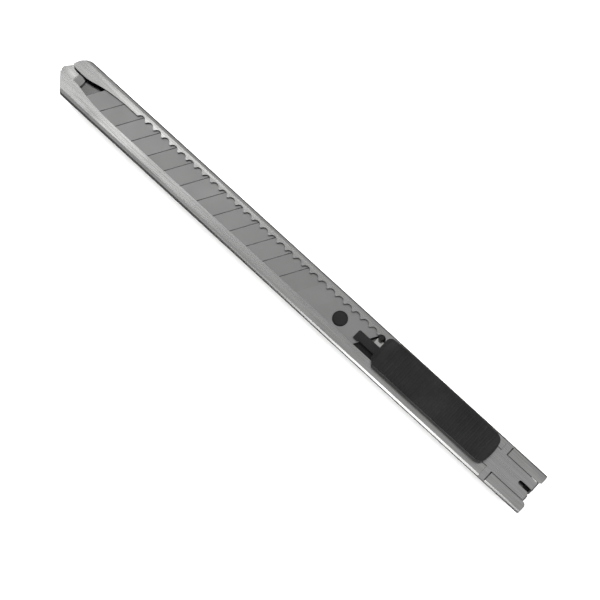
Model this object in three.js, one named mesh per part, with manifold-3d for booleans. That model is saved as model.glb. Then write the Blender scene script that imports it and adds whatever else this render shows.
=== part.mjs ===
// Slim 9 mm snap-off utility knife with a folded stainless sleeve and an auto-lock thumb slide.
//
// Frame: +X runs from the nose to the tail, +Y to the notched (blade spine) side, +Z up to the thumb
// slide. The origin is under the middle of the knife, at the level of the pocket clip's outer face.
// Sizes are millimetres. Stations along the knife are measured from the nose tip and placed by at().

import * as THREE from 'three';
import { mergeVertices } from 'three/addons/utils/BufferGeometryUtils.js';
import Module from 'manifold-3d';

const wasm = await Module();
wasm.setup();

// ---------------------------------------------------------------- driving dimensions

// Snap-off blade
const bladeWidth = 9;
const bladeThickness = 0.4;
const bladeTip = 7.05;            // station of the cutting corner, blade drawn in
const snapAngle = THREE.MathUtils.degToRad(60);
const snapPitch = 5;
const snapLines = 12;
const snapGrooveWidth = 0.2;
const snapGrooveDepth = 0.08;
const bevelWidth = 0.75;
const edgeFlat = 0.04;
const holeRadius = 1.75;
const holeToTail = 7.08;          // hole centre to the slanted tail edge, along the middle

// Sleeve
const sheet = 0.4;
const bendRadius = 0.9;
const sideClearance = 0.2;        // blade to each side wall
const lowerLip = -2.35;           // inner edge of the plain lip
const toothTip = 2.88;            // inner edge of the notched lip
const toothDepth = 0.78;
const notchRadius = 1.07;
const notchPitch = 2.5;
const notchCount = 30;
const firstNotch = 21.55;
const noseTaper = 4;              // length of the chamfered nose
const noseStep = 5.7;             // rear end of the raised nose floor
const noseLowerLip = -1;          // inner edges of the lips over the raised floor
const noseUpperLip = 1.32;
const tailLowerLip = -2.6;
const tailUpperLip = 2.6;
const tailLipRound = 0.9;
const windowLength = 1.8;
const windowBehindCap = 0.9;
const lipTail = 9.9;             // window to the longer lip's end
const lipStagger = 0.45;          // the notched lip ends this much sooner

// Blade holder
const runGap = 0.12;              // running clearance of the pieces inside the sleeve
const baseThickness = 1.1;
const bossToPin = 9.65;
const bossRadius = 1.6;
const bossLead = 2.6;             // bar in front of the boss centre
const tongueToPin = 4.75;
const tongueThickness = 0.64;
const neckEdge = 1.05;            // notched-side face of the neck
const neckBehindPin = 2.25;
const neckLength = 20.4;
const neckRise = 1.4;             // neck above the lips
const headFlange = 0.4;
const headThickness = 0.5;

// Lock pin and its leaf spring
const pinRadius = 0.7;
const pinEngage = 0.72;           // how far the pin reaches past the tooth tips
const pinTravel = 0.85;           // how far the leaf lets the pin draw back
const leaf = 0.25;                // thickness of the spring strip
const leafHeight = 1.4;

// Thumb slide
const capLength = 33;
const capWidth = 7.6;
const capOffset = 0.5;            // the cap's middle lies this far towards the notched lip
const capHeight = 3.3;
const capBehindPin = 1.25;
const capLift = 0.15;             // clearance over the lips
const capTravel = 1;              // free movement on the neck that frees the lock
const ribPitch = 1.2;
const ribHeight = 0.22;

// End clip
const clipSheet = 0.45;
const clipGap = 1.35;             // pocket between the clip and the sleeve's back
const clipWidth = 6;
const clipLength = 43;
const clipBend = 1;               // outer radius of the two bends round the tail
const clipSideGap = 0.15;
const plateTail = 8.95;           // window to the rear of the plate
const plateLead = 4.4;            // plate in front of the window, under the thumb slide
const slotLength = 3.5;
const slotWidth = 0.9;
const slotFlare = 0.6;            // the slot's mouth widens by this much, towards the plain lip
const shoulderInset = 0.4;        // shoulder to the sleeve's outer face, notched side
const shoulderProud = 0.1;        // shoulder beyond the sleeve's outer face, plain side

// ---------------------------------------------------------------- levels and stations

const backOuter = clipSheet + clipGap;
const floorTop = backOuter + sheet;
const baseBottom = floorTop + runGap;
const baseTop = baseBottom + baseThickness;
const bladeBottom = baseTop + runGap;
const bladeTop = bladeBottom + bladeThickness;
const lipBottom = bladeTop + 2 * runGap;
const lipTop = lipBottom + sheet;
const capBottom = lipTop + capLift;
const capTop = capBottom + capHeight;
const neckTop = lipTop + neckRise;

const innerHalf = bladeWidth / 2 + sideClearance;
const outerHalf = innerHalf + sheet;

const pinStation = firstNotch + notchPitch * (notchCount - 1);
const bossStation = pinStation - bossToPin;
const tongueFront = pinStation - tongueToPin;
const neckFront = pinStation + neckBehindPin;
const neckRear = neckFront + neckLength;
const capFront = pinStation + capBehindPin;
const capRear = capFront + capLength;
const windowFront = capRear + windowBehindCap;
const windowRear = windowFront + windowLength;
const plateEnd = windowRear + plateTail;
const sleeveEnd = windowRear + lipTail;
const pinY = toothTip + pinEngage - pinRadius;

const at = (station) => station - sleeveEnd / 2;

// ---------------------------------------------------------------- solid helpers

const CURVE_STEPS = 8;
const BEYOND = 20;                // how far a cutter reaches past what it cuts

function solid(geometry) {
  geometry.deleteAttribute('normal');
  geometry.deleteAttribute('uv');
  const merged = mergeVertices(geometry, 1e-5);
  return new wasm.Manifold(new wasm.Mesh({
    numProp: 3,
    vertProperties: new Float32Array(merged.attributes.position.array),
    triVerts: new Uint32Array(merged.index.array),
  }));
}

function extrude(shape, depth) {
  const options = { depth, bevelEnabled: false, curveSegments: CURVE_STEPS };
  return new THREE.ExtrudeGeometry(shape, options);
}

// An outline in the XY plane, between two levels.
function plan(shape, low, high) {
  return solid(extrude(shape, high - low).translate(0, 0, low));
}

// An outline of (x, z) points, between two Y values.
function sideways(shape, near, far) {
  return solid(extrude(shape, far - near).rotateX(Math.PI / 2).translate(0, far, 0));
}

// An outline of (y, z) points, between two X values.
function lengthways(shape, from, to) {
  const turn = new THREE.Matrix4().set(0, 0, 1, from, 1, 0, 0, 0, 0, 1, 0, 0, 0, 0, 0, 1);
  return solid(extrude(shape, to - from).applyMatrix4(turn));
}

function outline(points) {
  return new THREE.Shape(points.map(([a, b]) => new THREE.Vector2(a, b)));
}

function box(x0, x1, y0, y1, z0, z1) {
  const geometry = new THREE.BoxGeometry(x1 - x0, y1 - y0, z1 - z0);
  return solid(geometry.translate((x0 + x1) / 2, (y0 + y1) / 2, (z0 + z1) / 2));
}

function post(x, y, radius, low, high, sides = 32) {
  const geometry = new THREE.CylinderGeometry(radius, radius, high - low, sides);
  return solid(geometry.rotateX(Math.PI / 2).translate(x, y, (low + high) / 2));
}

function roundedRect(y0, y1, z0, z1, r) {
  const shape = new THREE.Shape();
  shape.absarc(y1 - r, z0 + r, r, -Math.PI / 2, 0);
  shape.absarc(y1 - r, z1 - r, r, 0, Math.PI / 2);
  shape.absarc(y0 + r, z1 - r, r, Math.PI / 2, Math.PI);
  shape.absarc(y0 + r, z0 + r, r, Math.PI, Math.PI * 1.5);
  return shape;
}

function mesh(name, body, look) {
  const data = body.getMesh();
  const geometry = new THREE.BufferGeometry();
  geometry.setAttribute('position', new THREE.BufferAttribute(data.vertProperties, 3));
  geometry.setIndex(new THREE.BufferAttribute(data.triVerts, 1));
  geometry.computeVertexNormals();
  const node = new THREE.Mesh(geometry, look);
  node.name = name;
  return node;
}

const look = (color, roughness, metalness) =>
  new THREE.MeshStandardMaterial({ color, roughness, metalness });

const stainless = look('#b9bbb9', 0.34, 1);
const bladeSteel = look('#a4a9a6', 0.28, 1);
const springSteel = look('#c8c8c4', 0.3, 1);
const blackPlastic = look('#232425', 0.55, 0);
const holderPlastic = look('#1b1c1d', 0.5, 0);

// ---------------------------------------------------------------- sleeve

// Outline seen from above: chamfered on the plain side of the nose, rounded on the notched side.
// It runs a millimetre past the side walls, so that it only trims the two ends.
function sleeveOutline() {
  const shape = new THREE.Shape();
  const shorterEnd = at(sleeveEnd - lipStagger);
  const longerEnd = at(sleeveEnd);
  const slant = noseTaper / (outerHalf - 0.75);
  shape.moveTo(at(noseTaper + slant), -outerHalf - 1);
  shape.lineTo(at(0), -0.75);
  shape.lineTo(at(0), 0.1);
  shape.quadraticCurveTo(at(0.1), 1.3, at(1.65), 2);
  shape.quadraticCurveTo(at(1.9), outerHalf - 0.8, at(noseTaper), outerHalf - 0.2);
  shape.lineTo(at(noseTaper + 1.2), outerHalf + 1);
  shape.lineTo(shorterEnd - 1.4, outerHalf + 1);
  shape.lineTo(shorterEnd, outerHalf - 0.4);
  shape.lineTo(shorterEnd, 0);
  shape.lineTo(longerEnd, 0);
  shape.lineTo(longerEnd, 0.3 - outerHalf);
  shape.lineTo(longerEnd - 1.3, -outerHalf - 1);
  return shape;
}

// Opening between the two lips, from nose to tail.
function lipGap() {
  const gap = new THREE.Shape();
  const guide = firstNotch - 4.5;        // where the lips reach their straight inner edges
  const step = neckRear + capTravel + 2;  // the notched lip widens again, under the thumb slide
  const shorterEnd = at(sleeveEnd - lipStagger);
  gap.moveTo(at(-1), noseLowerLip + 0.1);
  gap.lineTo(at(noseStep - 0.5), noseLowerLip);
  gap.bezierCurveTo(at(7), noseLowerLip - 0.05, at(8.5), lowerLip + 0.25, at(guide), lowerLip);
  gap.lineTo(at(windowRear - 0.5), lowerLip);
  gap.lineTo(at(windowRear - 0.5), tailLowerLip);
  gap.lineTo(at(sleeveEnd) - tailLipRound, tailLowerLip);
  gap.quadraticCurveTo(at(sleeveEnd), tailLowerLip, at(sleeveEnd), tailLowerLip - tailLipRound);
  gap.lineTo(at(sleeveEnd) + 1, tailLowerLip - tailLipRound);
  gap.lineTo(at(sleeveEnd) + 1, tailUpperLip + tailLipRound);
  gap.lineTo(shorterEnd, tailUpperLip + tailLipRound);
  gap.quadraticCurveTo(shorterEnd, tailUpperLip, shorterEnd - tailLipRound, tailUpperLip);
  gap.lineTo(at(step), tailUpperLip);
  gap.lineTo(at(step) - 0.7, toothTip);
  gap.lineTo(at(guide), toothTip);
  gap.bezierCurveTo(at(9.3), toothTip - 0.28, at(8.2), noseUpperLip + 0.1, at(noseStep), noseUpperLip);
  gap.lineTo(at(2.9), noseUpperLip);
  gap.quadraticCurveTo(at(1.8), noseUpperLip, at(1.65), 2);
  gap.lineTo(at(-1), 2);
  return gap;
}

// One round-bottomed notch of the lock rack.
function notch(station) {
  const bottom = toothTip + toothDepth;
  const centre = bottom - notchRadius;
  const reach = Math.asin((toothTip - centre) / notchRadius);
  const shape = new THREE.Shape();
  shape.absarc(at(station), centre, notchRadius, reach, Math.PI - reach);
  shape.lineTo(at(station) - notchRadius, toothTip - 0.3);
  shape.lineTo(at(station) + notchRadius, toothTip - 0.3);
  return plan(shape, lipBottom - 0.1, lipTop + 0.1);
}

// Raised floor that carries the blade at the nose, pressed up from the back.
function noseFloor(inset, low, high) {
  const half = outerHalf - 1.7 - inset;
  const rear = at(noseStep - inset);
  const shape = new THREE.Shape();
  shape.moveTo(at(3.2) + inset, -half);
  shape.lineTo(at(0.35) + inset, -0.55);
  shape.lineTo(at(0.35) + inset, 0.3);
  shape.lineTo(at(2.9) + inset, half);
  shape.lineTo(rear - 1.2, half);
  shape.quadraticCurveTo(rear + 1.2, 0, rear - 1.2, -half);
  return plan(shape, low, high);
}

function makeSleeve() {
  const ring = roundedRect(-outerHalf, outerHalf, backOuter, lipTop, bendRadius);
  ring.holes.push(roundedRect(-innerHalf, innerHalf, floorTop, lipBottom, bendRadius - sheet));
  const raised = bladeBottom - runGap;
  let body = lengthways(ring, at(-1), at(sleeveEnd) + 1);
  body = body.intersect(plan(sleeveOutline(), 0, capTop));
  body = body.subtract(plan(lipGap(), lipBottom - 0.05, lipTop + 0.1));
  body = body.add(noseFloor(0, backOuter + 0.05, raised));
  body = body.subtract(noseFloor(sheet, backOuter - 1, raised - sheet));
  for (let i = 0; i < notchCount; i += 1) {
    body = body.subtract(notch(firstNotch + i * notchPitch));
  }
  const windowFloor = lipBottom - sheet;
  body = body.subtract(
    box(at(windowFront), at(windowRear), -BEYOND, BEYOND, windowFloor, lipTop + 1));
  const cutHalf = clipWidth / 2 + 2 * clipSideGap;
  const cutFront = plateEnd - clipBend - 1;
  return body.subtract(
    box(at(cutFront), at(sleeveEnd) + 1, -cutHalf, cutHalf, backOuter - 1, floorTop + 0.05));
}

// ---------------------------------------------------------------- blade

const snapShift = bladeWidth / Math.tan(snapAngle);
const bladeTail = bossStation + holeToTail - snapShift / 2;   // the tail's corner on the cutting side

function makeBlade() {
  const half = bladeWidth / 2;
  const middle = (bladeBottom + bladeTop) / 2;
  const section = outline([
    [-half, middle - edgeFlat / 2], [bevelWidth - half, bladeBottom], [half, bladeBottom],
    [half, bladeTop], [bevelWidth - half, bladeTop], [-half, middle + edgeFlat / 2],
  ]);
  const strip = outline([
    [at(bladeTip), -half], [at(bladeTail), -half],
    [at(bladeTail + snapShift), half], [at(bladeTip + snapShift), half],
  ]);
  let body = lengthways(section, at(bladeTip), at(bladeTail + snapShift));
  body = body.intersect(plan(strip, 0, capTop));
  body = body.subtract(post(at(bossStation), 0, holeRadius, bladeBottom - 1, bladeTop + 1));
  for (let i = 1; i <= snapLines; i += 1) {
    const start = bladeTip + i * snapPitch;
    const slant = (side, edge) => at(start + (side / half + 1) * snapShift / 2) + edge;
    const reach = half + 1;
    const groove = outline([
      [slant(-reach, -snapGrooveWidth / 2), -reach], [slant(-reach, snapGrooveWidth / 2), -reach],
      [slant(reach, snapGrooveWidth / 2), reach], [slant(reach, -snapGrooveWidth / 2), reach],
    ]);
    body = body.subtract(plan(groove, bladeTop - snapGrooveDepth, bladeTop + 1));
  }
  return body;
}

// ---------------------------------------------------------------- blade holder

const neckLower = lowerLip + 0.2;          // plain-side face of the neck
const springSlot = neckRear - 1.5;         // front of the slot that holds the leaf's root
const springSlotDepth = 0.9;
const leafBottom = floorTop + 0.3;
const leafSide = neckEdge + 0.2;
const lugFront = pinStation - 0.8;

// The holder is hollowed beside the leaf, so that it can bend by the pin's travel.

function makeHolder() {
  const railSide = 0.25 - innerHalf;
  const bar = outline([
    [at(bossStation - bossLead), -1.5], [at(bossStation - bossLead + 0.8), -2.3],
    [at(tongueFront - 1), -2.3], [at(tongueFront), railSide], [at(neckRear), railSide],
    [at(neckRear), neckEdge], [at(tongueFront - 1.4), neckEdge], [at(tongueFront - 2.6), 2.3],
    [at(bossStation - bossLead + 0.8), 2.3], [at(bossStation - bossLead), 1.5],
  ]);
  const tongueBottom = bladeTop + runGap;
  const tongue = outline([
    [at(tongueFront), -1.2], [at(tongueFront + 1.1), -1.2], [at(tongueFront + 1.4), -0.95],
    [at(neckFront + 0.5), -0.95], [at(neckFront + 0.5), neckEdge], [at(tongueFront + 0.3), neckEdge],
    [at(tongueFront), neckEdge - 0.3],
  ]);
  const head = [at(neckFront), at(neckRear), neckLower - headFlange, neckEdge + headFlange];
  let body = plan(bar, baseBottom, baseTop);
  body = body.add(post(at(bossStation), 0, bossRadius, baseTop - 0.2, lipBottom - 0.05));
  body = body.add(box(at(neckFront), at(neckRear), neckLower, neckEdge, baseTop - 0.2, neckTop));
  body = body.add(box(...head, neckTop - headThickness, neckTop));
  const hollow = outline([
    [at(lugFront) - runGap, neckEdge + 1], [at(lugFront) - runGap, neckEdge - pinTravel],
    [at(neckFront), neckEdge - pinTravel], [at(springSlot - 2), neckEdge],
    [at(springSlot - 2), neckEdge + 1],
  ]);
  body = body.subtract(plan(hollow, baseBottom - 1, leafBottom + leafHeight + runGap));
  body = body.add(plan(tongue, tongueBottom, tongueBottom + tongueThickness));
  return body.subtract(
    box(at(springSlot), at(springSlot) + leaf + 0.2, neckEdge - springSlotDepth - 0.1,
      neckEdge + 1, baseBottom - 1, lipBottom));
}

// ---------------------------------------------------------------- lock spring and pin

const lugTop = leafBottom + leafHeight / 2;
const pinBottom = lugTop + 0.15;

function makeSpring() {
  const strip = outline([
    [at(neckFront - 1), leafSide], [at(springSlot) + 0.1, leafSide],
    [at(springSlot) + 0.1, neckEdge - springSlotDepth + 0.1],
    [at(springSlot) + 0.1 + leaf, neckEdge - springSlotDepth + 0.1],
    [at(springSlot) + 0.1 + leaf, leafSide + leaf], [at(neckFront - 1), leafSide + leaf],
  ]);
  const lug = box(at(lugFront), at(neckFront), leafSide, pinY - pinRadius + 0.5, lugTop - leaf, lugTop);
  return plan(strip, leafBottom, leafBottom + leafHeight).add(lug);
}

function makePin() {
  const top = lipTop + 0.08;
  const points = [
    [0, pinBottom], [pinRadius, pinBottom], [pinRadius, top - 0.2],
    [pinRadius - 0.2, top], [0, top],
  ];
  const profile = points.map(([r, z]) => new THREE.Vector2(r, z));
  return solid(new THREE.LatheGeometry(profile, 24).rotateX(Math.PI / 2).translate(at(pinStation), pinY, 0));
}

// ---------------------------------------------------------------- thumb slide

// Height of the ribbed top along the thumb slide: a shallow saddle between two swells.
function saddle(share) {
  return capTop - ribHeight - 0.55 * Math.sin(Math.PI * share) ** 2;
}

function capProfile() {
  const points = [[at(capRear), capBottom], [at(capRear), capTop - 1.1]];
  const ribFront = capFront + 3;
  const ribRear = capRear - 1.2;
  const ribs = Math.floor((ribRear - ribFront) / ribPitch);
  for (let i = ribs - 1; i >= 0; i -= 1) {
    const station = ribFront + i * ribPitch;
    const level = saddle(i / (ribs - 1));
    points.push([at(station + ribPitch * 0.75), level], [at(station + ribPitch * 0.5), level + ribHeight]);
    points.push([at(station + ribPitch * 0.25), level + ribHeight], [at(station), level]);
  }
  points.push([at(capFront + 1), capTop - 0.6], [at(capFront), capTop - 1.5], [at(capFront), capBottom]);
  return outline(points);
}

function capPlan() {
  const half = capWidth / 2;
  const shape = new THREE.Shape();
  shape.moveTo(at(capFront), 1.4 - half);
  shape.lineTo(at(capFront), half - 1.6);
  shape.quadraticCurveTo(at(capFront), half - 0.3, at(capFront + 1.7), half - 0.25);
  shape.quadraticCurveTo(at((capFront + capRear) / 2), half + 0.25, at(capRear - 2.2), half - 0.2);
  shape.quadraticCurveTo(at(capRear - 0.4), half - 0.4, at(capRear - 0.25), half - 2);
  shape.quadraticCurveTo(at(capRear + 0.25), 0, at(capRear - 0.25), 1.6 - half);
  shape.quadraticCurveTo(at(capRear - 0.5), 0.1 - half, at(capRear - 2.2), -half);
  shape.lineTo(at(capFront + 1.2), -half);
  return shape;
}

// Cam wedge under the cap that draws the pin out of its notch as the cap moves forward.
function camWedge() {
  const tip = pinStation + 1.15;
  const top = lipBottom - 0.1;
  const low = pinBottom + 0.1;
  const slope = outline([
    [at(tip), pinY], [at(tip + 1.25), pinY - 1.06], [at(tip + 3.8), pinY - 1.06],
    [at(tip + 3.8), pinY + 0.35], [at(tip), pinY + 0.35],
  ]);
  const stem = box(at(tip + 1.25), at(tip + 3.8), pinY - 1.06, toothTip - 0.2, low, capBottom + 0.5);
  return plan(slope, low, top).add(stem);
}

function makeCap() {
  const ease = 0.15;
  const front = at(neckFront) - ease;
  const rear = at(neckRear + capTravel) + ease;
  const headLow = neckTop - headThickness - ease;
  const crown = sideways(capProfile(), -capWidth, capWidth);
  let body = crown.intersect(plan(capPlan(), 0, capTop + 1).translate(0, capOffset, 0));
  body = body.subtract(box(front, rear, neckLower - ease, neckEdge + ease, capBottom - 1, headLow + 0.1));
  body = body.subtract(
    box(front, rear, neckLower - headFlange - ease, neckEdge + headFlange + ease, headLow,
      neckTop + ease));
  return body.add(camWedge());
}

// ---------------------------------------------------------------- end clip

// Side view of the strip: plate, turn round the tail, pocket clip with its pressed-in grip.
function clipProfile() {
  const bend = at(plateEnd) - clipBend;
  const inside = clipBend - clipSheet;
  const front = at(plateEnd - clipLength);
  const grip = backOuter - 0.2;
  const shape = new THREE.Shape();
  shape.moveTo(at(windowFront - plateLead), lipTop);
  shape.lineTo(bend, lipTop);
  shape.absarc(bend, lipTop - clipBend, clipBend, Math.PI / 2, 0, true);
  shape.absarc(bend, clipBend, clipBend, 0, -Math.PI / 2, true);
  shape.lineTo(front + 7, 0);
  shape.lineTo(front + 3.6, grip - clipSheet);
  shape.lineTo(front, 0.3);
  shape.lineTo(front, 0.3 + clipSheet);
  shape.lineTo(front + 3.6, grip);
  shape.lineTo(front + 7, clipSheet);
  shape.lineTo(bend, clipSheet);
  shape.absarc(bend, clipBend, inside, -Math.PI / 2, 0, false);
  shape.absarc(bend, lipTop - clipBend, inside, 0, Math.PI / 2, false);
  shape.lineTo(at(windowFront - plateLead), lipTop - clipSheet);
  return shape;
}

function makeClip() {
  const half = clipWidth / 2;
  const plateLow = tailLowerLip + clipSideGap;
  const plateHigh = tailUpperLip - clipSideGap;
  const level = lipBottom - sheet + 0.1;
  const front = at(plateEnd - clipLength) - 1;
  const rear = at(plateEnd) + 1;
  const lead = at(windowFront + 0.05);
  const shoulderSides = [-outerHalf - shoulderProud, outerHalf - shoulderInset];
  const shoulders = [at(windowFront + 0.2), at(windowRear - 0.2), ...shoulderSides];
  const slotCentre = (plateLow + plateHigh) / 2;
  const slotFront = at(plateEnd - slotLength);
  let limits = box(front, rear, -half, half, -1, level);
  limits = limits.add(box(lead, rear, plateLow, plateHigh, level - 0.5, lipTop + 1));
  limits = limits.add(
    box(front, lead + 0.1, lowerLip + clipSideGap, plateHigh, level - 0.5, lipTop + 1));
  limits = limits.add(box(...shoulders, level - 0.5, lipTop + 1));
  const slot = new THREE.Shape();
  slot.absarc(slotFront + slotWidth / 2, slotCentre, slotWidth / 2, Math.PI / 2, Math.PI * 1.5);
  slot.lineTo(rear - 1.6, slotCentre - slotWidth / 2);
  slot.lineTo(rear - 1, slotCentre - slotWidth / 2 - slotFlare);
  slot.lineTo(rear, slotCentre - slotWidth / 2 - slotFlare);
  slot.lineTo(rear, slotCentre + slotWidth / 2);
  return sideways(clipProfile(), -outerHalf - 1, outerHalf + 1)
    .intersect(limits)
    .subtract(plan(slot, lipTop / 2, lipTop + 1));
}

// ---------------------------------------------------------------- assembly

const knife = new THREE.Group();
knife.name = 'utility_knife';

knife.add(
  mesh('sleeve', makeSleeve(), stainless),
  mesh('end_clip', makeClip(), stainless),
  mesh('snap_blade', makeBlade(), bladeSteel),
  mesh('blade_holder', makeHolder(), holderPlastic),
  mesh('lock_spring', makeSpring(), springSteel),
  mesh('lock_pin', makePin(), blackPlastic),
  mesh('thumb_slide', makeCap(), blackPlastic),
);

export default knife;
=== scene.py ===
"""Looks of a slim 9 mm snap-off utility knife.

It has a satin stainless sleeve, a scored blade and a black auto-lock thumb slide.

Meshes are worked out in millimetres, in the frame's own axes (+X from nose to tail, +Y to the notched
lip, +Z to the thumb slide), and are turned to metres when they are finished. at() places a station,
which is measured from the nose tip.
"""

import math

import bmesh
import bpy
from mathutils import Matrix, Vector


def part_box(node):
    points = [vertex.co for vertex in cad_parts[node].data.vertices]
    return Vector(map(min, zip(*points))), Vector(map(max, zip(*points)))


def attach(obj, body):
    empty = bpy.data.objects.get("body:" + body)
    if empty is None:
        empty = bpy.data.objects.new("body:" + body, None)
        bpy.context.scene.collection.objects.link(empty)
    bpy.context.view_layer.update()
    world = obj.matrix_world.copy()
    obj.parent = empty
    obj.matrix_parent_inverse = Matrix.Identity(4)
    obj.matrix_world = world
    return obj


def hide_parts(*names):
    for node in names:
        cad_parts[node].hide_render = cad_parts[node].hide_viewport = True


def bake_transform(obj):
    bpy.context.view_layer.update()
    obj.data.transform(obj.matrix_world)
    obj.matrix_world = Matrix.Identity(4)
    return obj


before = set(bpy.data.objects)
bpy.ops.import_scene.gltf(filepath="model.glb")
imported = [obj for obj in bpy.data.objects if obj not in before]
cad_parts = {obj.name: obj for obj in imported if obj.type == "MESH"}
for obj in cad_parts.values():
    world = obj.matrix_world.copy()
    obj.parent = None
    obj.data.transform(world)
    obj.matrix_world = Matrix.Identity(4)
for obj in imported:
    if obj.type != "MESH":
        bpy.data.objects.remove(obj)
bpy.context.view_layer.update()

MM = 0.001

# ---------------------------------------------------------------- camera

VIEW_AZIMUTH = 40.4
VIEW_ELEVATION = 78.64
VIEW_ROLL = 2.63
VIEW_DISTANCE = 0.4
VIEW_LENS = 110.16
VIEW_AIM = Vector((4.86, -3.05, 4.6)) * MM


def set_camera():
    """Looks almost straight down on the knife, from a little towards its tail and its plain lip."""
    azimuth = math.radians(VIEW_AZIMUTH)
    elevation = math.radians(VIEW_ELEVATION)
    back = Vector((
        math.sin(azimuth) * math.cos(elevation),
        -math.cos(azimuth) * math.cos(elevation),
        math.sin(elevation),
    ))
    right = Vector((math.cos(azimuth), math.sin(azimuth), 0))
    axes = Matrix((right, back.cross(right), back)).transposed().to_4x4()
    turn = Matrix.Rotation(math.radians(VIEW_ROLL), 4, "Z")
    lens = bpy.data.cameras.new("product_camera")
    lens.lens = VIEW_LENS
    lens.clip_start = 0.01
    camera = bpy.data.objects.new("product_camera", lens)
    camera.matrix_world = Matrix.Translation(VIEW_AIM + back * VIEW_DISTANCE) @ axes @ turn
    bpy.context.collection.objects.link(camera)
    bpy.context.scene.camera = camera


set_camera()

# ---------------------------------------------------------------- sizes, taken from the frame

X, Y, Z = range(3)


def span(node, axis):
    """Lowest and highest millimetre of a CAD node along one axis."""
    low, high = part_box(node)
    return low[axis] / MM, high[axis] / MM


NOSE, TAIL = span("sleeve", X)
OUTER = span("sleeve", Y)[1]
BACK, LIP_TOP = span("sleeve", Z)
BLADE_BOTTOM, BLADE_TOP = span("snap_blade", Z)
BLADE_TIP, BLADE_REAR = span("snap_blade", X)
BLADE_HALF = span("snap_blade", Y)[1]
PIN_X = sum(span("lock_pin", X)) / 2
PIN_Y = sum(span("lock_pin", Y)) / 2
PIN_BOTTOM, PIN_TOP = span("lock_pin", Z)
CAP_REAR = span("thumb_slide", X)[1]
CAP_TOP = span("thumb_slide", Z)[1]
CLIP_FRONT, PLATE_END = span("end_clip", X)
SPRING_FRONT, SPRING_REAR = span("lock_spring", X)
SPRING_ROOT = span("lock_spring", Y)[0]
SPRING_BOTTOM, SPRING_TOP = span("lock_spring", Z)

# ---------------------------------------------------------------- driving dimensions, in millimetres

SHEET = 0.4
BEND = 0.9
INNER = OUTER - SHEET
LIP_BOTTOM = LIP_TOP - SHEET
RUN_GAP = 0.12

LOWER_LIP = -2.35
TOOTH_TIP = 2.88
NOTCH_DEPTH = 0.78
NOTCH_RADIUS = 1.07
NOTCH_PITCH = 2.5
NOTCH_COUNT = 30
FIRST_NOTCH = 21.55
GUIDE = FIRST_NOTCH - 4.5

NOSE_TAPER = 4
NOSE_STEP = 5.7
NOSE_LOWER_LIP = -1
NOSE_UPPER_LIP = 1.32
NOSE_FLOOR_SIDE = 1.7
NOSE_FLOOR_KNEE = 0.3

CAP_LENGTH = 33
CAP_HALF = 3.8
CAP_OFFSET = 0.5
CAP_FRONT = CAP_REAR - CAP_LENGTH
CAP_BOTTOM = LIP_TOP + 0.15
RIB_PITCH = 1.2
RIB_RISE = 0.22
RIB_RADIUS = 0.36
RIB_SUNK = 0.12
RIB_FLATTENING = 0.8
SADDLE = 0.55
POCKET_MARGIN = 0.5
POCKET_ROOF = 1.2
WEDGE_REACH = 3

WINDOW_FRONT = CAP_REAR + 0.9
WINDOW_REAR = WINDOW_FRONT + 1.8
WINDOW_WALL = 0.15
SHOULDER_FRONT_GAP = 0.03
SHOULDER_REAR_GAP = 0.3
SHOULDER_PROUD = 0.1
SHOULDER_INSET = 0.42
TAIL_LOWER_LIP = -2.6
TAIL_UPPER_LIP = 2.6
TAIL_LIP_ROUND = 0.9
LIP_STAGGER = 0.45

CLIP_SHEET = 0.45
CLIP_HALF = 3
CLIP_BEND = 0.7
CLIP_GAP = 0.15
PLATE_LEAD = 4.4
PLATE_STEP = 0.05
SLOT_LENGTH = 3.5
SLOT_WIDTH = 1
MOUTH_DEPTH = 0.55
GRIP_PRESS = 3.6
GRIP_LENGTH = 7
GRIP_LIFT = 0.3

BLADE_BEVEL = 0.75
BLADE_EDGE = 0.015
SNAP_PITCH = 5
SNAP_LINES = 12
SNAP_ANGLE = math.radians(60)
HOLE_X = PIN_X - 9.65
HOLE_RADIUS = 1.75

LEAF = 0.25
LEAF_SIDE = 1.25
LUG_REACH = 2.25

# A cutter runs past a face, or a joined shape into another, by OVERRUN or OVERLAP. FAR is past it all.
OVERRUN = 0.1
OVERLAP = 0.05
FAR = 20


def at(station):
    return NOSE + station


# ---------------------------------------------------------------- outlines


def bezier(p0, p1, p2, p3, steps):
    """Points of a cubic curve, its start left out."""
    points = []
    for i in range(1, steps + 1):
        t = i / steps
        weights = ((1 - t) ** 3, 3 * t * (1 - t) ** 2, 3 * t * t * (1 - t), t ** 3)
        corners = (p0, p1, p2, p3)
        points.append(tuple(sum(w * p[axis] for w, p in zip(weights, corners)) for axis in (X, Y)))
    return points


def arc(cx, cy, radius, start, end, steps):
    """Points on an arc, angles in degrees, both ends included."""
    angles = [math.radians(start + (end - start) * i / steps) for i in range(steps + 1)]
    return [(cx + radius * math.cos(a), cy + radius * math.sin(a)) for a in angles]


def rounded_rectangle(x0, x1, y0, y1, radius, steps=10):
    corners = (
        (x1 - radius, y0 + radius, -90), (x1 - radius, y1 - radius, 0),
        (x0 + radius, y1 - radius, 90), (x0 + radius, y0 + radius, 180),
    )
    points = []
    for cx, cy, start in corners:
        points += arc(cx, cy, radius, start, start + 90, steps)
    return points


# ---------------------------------------------------------------- mesh helpers


def new_object(name, build):
    """An object whose mesh the function build fills in."""
    shape = bmesh.new()
    build(shape)
    bmesh.ops.remove_doubles(shape, verts=shape.verts, dist=1e-5)
    bmesh.ops.recalc_face_normals(shape, faces=shape.faces)
    data = bpy.data.meshes.new(name)
    shape.to_mesh(data)
    shape.free()
    piece = bpy.data.objects.new(name, data)
    bpy.context.collection.objects.link(piece)
    return piece


def from_above(a, b, level):
    """Outline of (x, y) points run along Z."""
    return (a, b, level)


def from_side(a, b, level):
    """Outline of (x, z) points run along Y."""
    return (a, level, b)


def from_end(a, b, level):
    """Outline of (y, z) points run along X."""
    return (level, a, b)


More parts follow.
